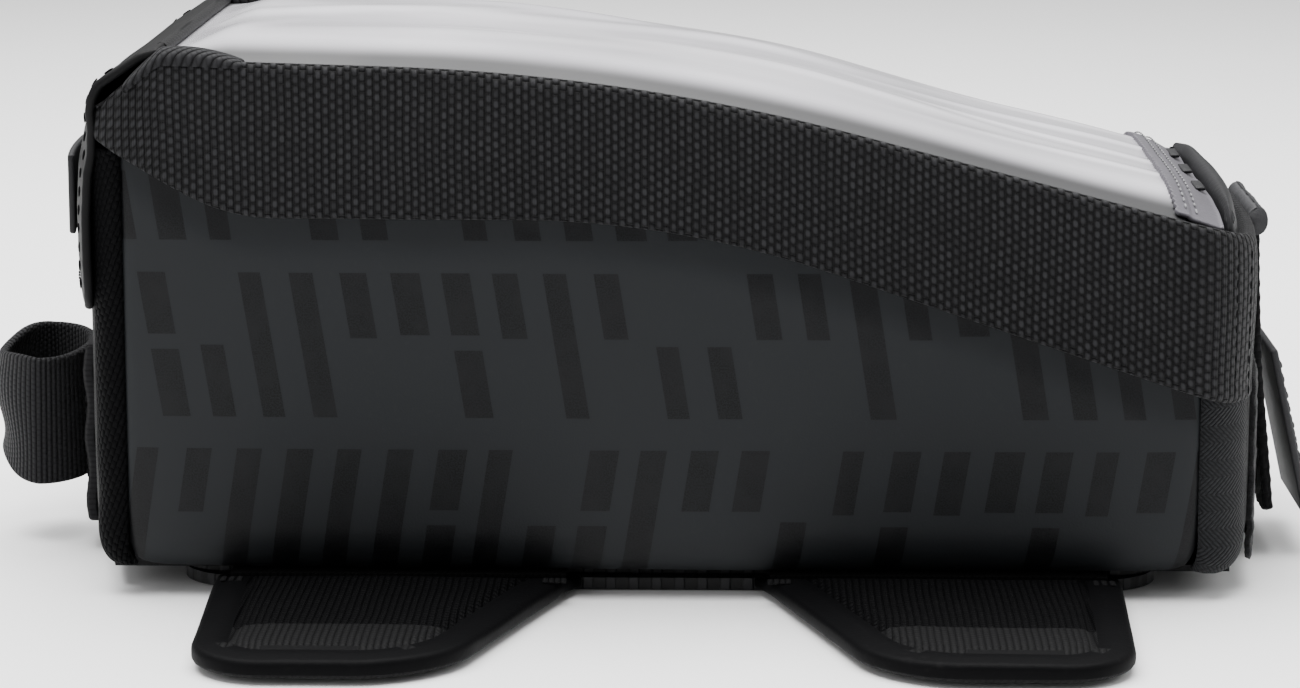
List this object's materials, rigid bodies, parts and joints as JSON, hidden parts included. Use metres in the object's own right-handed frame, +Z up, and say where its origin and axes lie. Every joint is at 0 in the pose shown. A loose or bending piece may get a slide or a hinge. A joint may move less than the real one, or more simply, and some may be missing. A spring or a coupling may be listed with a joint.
{
  "type": "tank bag",
  "caption": "Small soft tank bag with a hinged window-pocket lid, skirt, closure tab, pocket flap, tether loop and magnet wings that hold it on a steel tank.",
  "frame": {"origin": "centre of the base pad's flat underside", "axes": "+X to the front, closure-tab end; +Y to the left-hand side; +Z up"},
  "size_m": [0.2565, 0.22, 0.1014],
  "materials": {
    "coated_tarpaulin": "matte coated tarpaulin with a tonal satin pattern",
    "foam": "closed-cell foam",
    "lining": "plain nylon lining",
    "pocket_lining": "light grey lining",
    "ballistic_weave": "coarse basket weave",
    "binding_tape": "ribbed woven tape",
    "wing_weave": "ribbed weave",
    "grip_backing": "matte grip sheet",
    "magnet": "nickel plate",
    "clear_film": "clear gloss film",
    "grey_vinyl": "matte vinyl",
    "hook_loop_tape": "fuzzy hook and loop",
    "soft_rubber": "satin moulded rubber",
    "webbing": "ribbed nylon webbing"
  },
  "bodies": {
    "bag_body": {"base_board": "foam", "base_pad": "grip_backing", "bottom_panel": "coated_tarpaulin", "closure_loop_strip": "hook_loop_tape", "flap_loop_strip": "hook_loop_tape", "front_binding_left": "binding_tape", "front_binding_right": "binding_tape", "front_panel": "coated_tarpaulin", "hinge_piping": "binding_tape", "main_lining": "lining", "mouth_binding": "binding_tape", "rear_binding_left": "binding_tape", "rear_binding_right": "binding_tape", "rear_panel": "coated_tarpaulin", "side_foam_left": "foam", "side_foam_right": "foam", "side_panel_left": "coated_tarpaulin", "side_panel_right": "coated_tarpaulin", "tether_strip": "webbing", "wing_hinge_tape": "binding_tape"},
    "lid": {"window_film": "clear_film", "pocket_gusset": "pocket_lining", "pocket_backing": "pocket_lining", "lid_stiffener": "foam", "lid_lining": "lining", "skirt_right": "ballistic_weave", "skirt_left": "ballistic_weave", "skirt_front": "ballistic_weave", "front_trim": "grey_vinyl", "front_roll": "ballistic_weave", "front_foam": "foam", "rear_ears": "binding_tape", "hinge_gusset": "ballistic_weave"},
    "flap_hanger": {"flap_piping": "binding_tape"},
    "pocket_flap": {"flap_cover": "ballistic_weave", "flap_hook_strip": "hook_loop_tape", "flap_patch": "soft_rubber"},
    "closure_tab": {"tab_strap": "ballistic_weave", "tab_hook_strip": "hook_loop_tape", "tab_patch": "soft_rubber"},
    "tether_loop": {"grab_loop": "webbing"},
    "front_right_wing": {"front_right_wing_backing": "grip_backing", "front_right_wing_binding": "binding_tape", "front_right_wing_cover": "wing_weave", "front_right_wing_magnets": "magnet"},
    "front_left_wing": {"front_left_wing_backing": "grip_backing", "front_left_wing_binding": "binding_tape", "front_left_wing_cover": "wing_weave", "front_left_wing_magnets": "magnet"},
    "rear_right_wing": {"rear_right_wing_backing": "grip_backing", "rear_right_wing_binding": "binding_tape", "rear_right_wing_cover": "wing_weave", "rear_right_wing_magnets": "magnet"},
    "rear_left_wing": {"rear_left_wing_backing": "grip_backing", "rear_left_wing_binding": "binding_tape", "rear_left_wing_cover": "wing_weave", "rear_left_wing_magnets": "magnet"}
  },
  "joints": [
    {"name": "lid_hinge", "type": "hinge", "parent": "bag_body", "child": "lid", "pos_m": [-0.1045, 0, 0.088], "axis": [0, -1, 0], "range_deg": [0, 105]},
    {"name": "flap_hang", "type": "hinge", "parent": "lid", "child": "flap_hanger", "pos_m": [-0.092, 0, 0.1002], "axis": [0, -1, 0], "range_deg": [-105, 0]},
    {"name": "flap_hinge", "type": "hinge", "parent": "flap_hanger", "child": "pocket_flap", "pos_m": [-0.092, 0, 0.1002], "axis": [0, 1, 0], "range_deg": [0, 90]},
    {"name": "tab_hinge", "type": "hinge", "parent": "lid", "child": "closure_tab", "pos_m": [0.1132, 0, 0.067], "axis": [0, -1, 0], "range_deg": [0, 100]},
    {"name": "loop_swing", "type": "hinge", "parent": "bag_body", "child": "tether_loop", "pos_m": [-0.1132, 0, 0.0255], "axis": [0, 0, 1], "range_deg": [-28, 28]},
    {"name": "front_right_wing_fold", "type": "hinge", "parent": "bag_body", "child": "front_right_wing", "pos_m": [0.0499, -0.05, 0.0022], "axis": [1, 0, 0], "range_deg": [-35, 75]},
    {"name": "front_left_wing_fold", "type": "hinge", "parent": "bag_body", "child": "front_left_wing", "pos_m": [0.0499, 0.05, 0.0022], "axis": [-1, 0, 0], "range_deg": [-35, 75]},
    {"name": "rear_right_wing_fold", "type": "hinge", "parent": "bag_body", "child": "rear_right_wing", "pos_m": [-0.0499, -0.05, 0.0022], "axis": [1, 0, 0], "range_deg": [-35, 75]},
    {"name": "rear_left_wing_fold", "type": "hinge", "parent": "bag_body", "child": "rear_left_wing", "pos_m": [-0.0499, 0.05, 0.0022], "axis": [-1, 0, 0], "range_deg": [-35, 75]}
  ],
  "couplings": [
    {"joint": "flap_hang", "follows": "lid_hinge", "ratio": -1}
  ]
}
